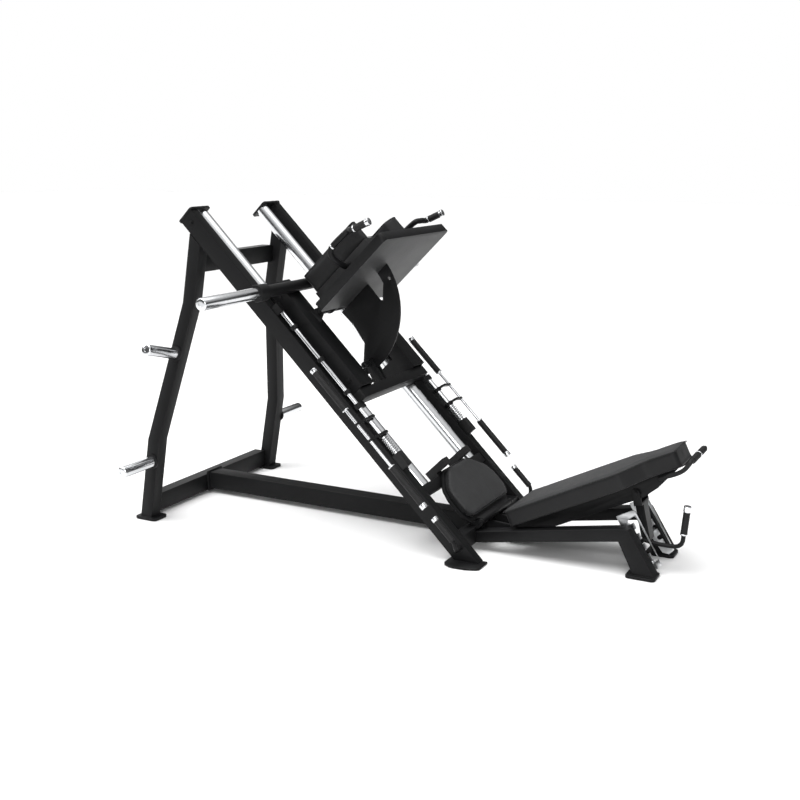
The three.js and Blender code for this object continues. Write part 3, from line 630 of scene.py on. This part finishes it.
def seam(name, node, body, slot, outward, centre):
    """A welt round the pad's face, on the outline of its CAD solid."""
    co = coordinates(frame["nodes"][node].data)
    out = np.array(outward)
    height = co @ out
    rim = np.unique(np.round(co[height > height.max() - 1e-4], 6), axis=0)
    across = np.array((0, 1.0, 0))
    along = np.cross(out, across)
    flat = np.c_[(rim - np.array(centre)) @ across, (rim - np.array(centre)) @ along]
    rim = rim[np.argsort(np.arctan2(flat[:, 1], flat[:, 0]))]
    route = []
    middle = rim.mean(0)
    for i, corner in enumerate(rim):
        before, after = rim[i - 1], rim[(i + 1) % len(rim)]
        for other, mix in ((before, 1), (before, 0.35), (after, 0.35), (after, 1)):
            edge = np.linalg.norm(other - corner)
            step = min(WELT["corner_share"], WELT["corner"] / edge) * mix
            point = corner * (1 - step) + other * step
            pull = WELT["pull"] * (1 - mix)
            inward = (middle - point) / np.linalg.norm(middle - point)
            route.append(Vector(point + inward * (WELT["inset"] + pull) - out * WELT["drop"]))
    mesh = bmesh.new()
    add_sweep(mesh, route, WELT["r"], count=10, closed=True)
    make(name, mesh, body, slot)


# ---- fasteners and plugs ----
def add_plug(mesh, rim, out):
    """A plug with a low lip over a tube's open end: rim is the tube's corners, out points out of it."""
    middle = sum(rim, Vector()) / len(rim)
    loops = [[mesh.verts.new(corner.lerp(middle, share) + out * (step * MM)) for corner in rim]
             for step, share in PLUG_STEPS]
    for a, b in zip(loops, loops[1:]):
        bridge(mesh, a, b)
    mesh.faces.new(loops[0])
    mesh.faces.new(loops[-1])


def end_plugs():
    """Moulded plugs in the open ends of the sled's tubes."""
    mesh = bmesh.new()
    for side in SIDES.values():
        (s0, s1), (h0, h1) = CROSS_PLUG["s"], CROSS_PLUG["h"]
        rim = [slope(s, side * CROSS_PLUG["y"], h) for s, h in ((s0, h0), (s1, h0), (s1, h1), (s0, h1))]
        add_plug(mesh, rim, Vector((0, side, 0)))
        (y0, y1), (h0, h1) = BEAM_PLUG["y"], BEAM_PLUG["h"]
        rim = [slope(BEAM_PLUG["s"], side * y, h) for y, h in ((y0, h0), (y1, h0), (y1, h1), (y0, h1))]
        add_plug(mesh, rim, -DOWN)
    bevel(make("sled_end_plugs", mesh, "sled", "black_rubber"), BEVEL["plug"])


def add_bolt(mesh, at, direction, r):
    """Washer and hexagon head with its edges turned off."""
    washer, head = 1.4, r * 0.6
    add_turned(mesh, at, direction, [(0, r * 1.7), (washer, r * 1.7), (washer, r * 0.6)], 24)
    add_turned(mesh, at + direction * 1.2 * MM, direction, [(0, r * 1.15), (head, r * 1.15), (r * 0.8, r)], 6)


def bolts(name, body, spots, r=7):
    mesh = bmesh.new()
    for at, direction in spots:
        add_bolt(mesh, at, direction, r)
    make(name, mesh, body, "black_paint")


def fasteners():
    base, sled, shaft = [], [], []
    for side in SIDES.values():
        out = Vector((0, side, 0))
        for spots, places in ((base, [BOLTS["rail"]]), (sled, BOLTS["sled"]), (shaft, [BOLTS["shaft"]])):
            spots += [(slope(s, side * y, h), out) for s, y, h in places]
    bolts("frame_bolts", "base", base)
    bolts("sled_bolts", "sled", sled)
    bolts("hinge_shaft_bolts", "sled", shaft, 8)
    y = BOARD_BOLTS["y"]
    board = [(slope(BOARD_BOLTS["s"], across, h), -DOWN) for across in (-y, y) for h in BOARD_BOLTS["h"]]
    bolts("board_bolts", "board", board, 6)


# ---- stage ----
def studio_floor():
    bpy.ops.mesh.primitive_plane_add(size=60, location=(0, 0, -0.0005))
    floor = bpy.context.object
    floor.name = "studio_floor"
    paper = Finish("studio_paper", (0.86, 0.86, 0.86), 0.9, specular=0.1)
    paper.mottle(0.4, 0.01)
    floor.data.materials.append(paper.material)


def surroundings():
    """The world: bright overhead and dim at the sides for the machine, plain white for the camera."""
    world = bpy.data.worlds.new("studio")
    bpy.context.scene.world = world
    world.use_nodes = True
    tree = world.node_tree
    light = tree.nodes["Background"]
    sky = tree.nodes.new("ShaderNodeValToRGB")
    split = tree.nodes.new("ShaderNodeSeparateXYZ")
    tree.links.new(tree.nodes.new("ShaderNodeTexCoord").outputs["Generated"], split.inputs[0])
    tree.links.new(split.outputs["Z"], sky.inputs["Fac"])
    for element, (height, shade) in zip(sky.color_ramp.elements, ((0.3, 0.1), (0.85, 1.0))):
        element.position = height
        element.color = (shade, shade, shade, 1)
    tree.links.new(sky.outputs["Color"], light.inputs["Color"])
    light.inputs["Strength"].default_value = 0.9
    seen = tree.nodes.new("ShaderNodeBackground")
    seen.inputs["Color"].default_value = (1, 1, 1, 1)
    seen.inputs["Strength"].default_value = 1.0
    mix = tree.nodes.new("ShaderNodeMixShader")
    tree.links.new(tree.nodes.new("ShaderNodeLightPath").outputs["Is Camera Ray"], mix.inputs["Fac"])
    tree.links.new(light.outputs[0], mix.inputs[1])
    tree.links.new(seen.outputs[0], mix.inputs[2])
    tree.links.new(mix.outputs[0], tree.nodes["World Output"].inputs["Surface"])


def add_light(name, kind, energy):
    lamp = bpy.data.lights.new(name, kind)
    lamp.energy = energy
    made = bpy.data.objects.new(name, lamp)
    bpy.context.scene.collection.objects.link(made)
    return lamp, made


def lights():
    for name, (place, size, power) in LAMPS.items():
        lamp, made = add_light(name, "AREA", power)
        lamp.size = size
        made.location = place
        made.rotation_euler = (LAMP_TARGET - Vector(place)).to_track_quat("-Z", "Y").to_euler()
    lamp, made = add_light("sun", "SUN", SUN["energy"])
    lamp.angle = math.radians(SUN["spread"])
    made.rotation_euler = (*[math.radians(angle) for angle in SUN["turn"]], 0)
    bpy.context.scene.view_settings.view_transform = "Standard"


def camera():
    data = bpy.data.cameras.new("camera")
    data.lens = CAMERA["lens"]
    data.sensor_width = CAMERA["sensor"]
    made = bpy.data.objects.new("camera", data)
    made.location = CAMERA["place"]
    made.rotation_euler = (math.radians(90 - CAMERA["down"]), 0, math.radians(CAMERA["turn"]))
    bpy.context.scene.collection.objects.link(made)
    bpy.context.scene.camera = made


camera()
studio_floor()
surroundings()
lights()
dress_frame()
cross_tube()
head_handle()
release_lever()
for word, side in SIDES.items():
    guides_and_rods(word, side)
    horns(word, side)
    buffer_spring(word, side)
    safety_grips(word, side)
    safety_handle(word, side)
    board_handle(word, side)
    seat_handle(word, side)
    cushion(f"shoulder_cushion_{word}", f"shoulder_pad_{word}", "board", "black_vinyl", -DOWN)
cushion("back_cushion", "back_pad", "board", "black_vinyl", -DOWN, crown=0.004)
cushion("seat_cushion", "seat_pad", "seat", "grey_vinyl", SQUARE, side_slot="black_vinyl",
        cap=0.003, voxel=0.005, crown=0.002)
cushion("bench_cushion", "bench_pad", "bench", "grey_vinyl", BENCH_UP, side_slot="black_vinyl",
        cap=0.004, voxel=0.006, crown=0.003)
fasteners()
end_plugs()
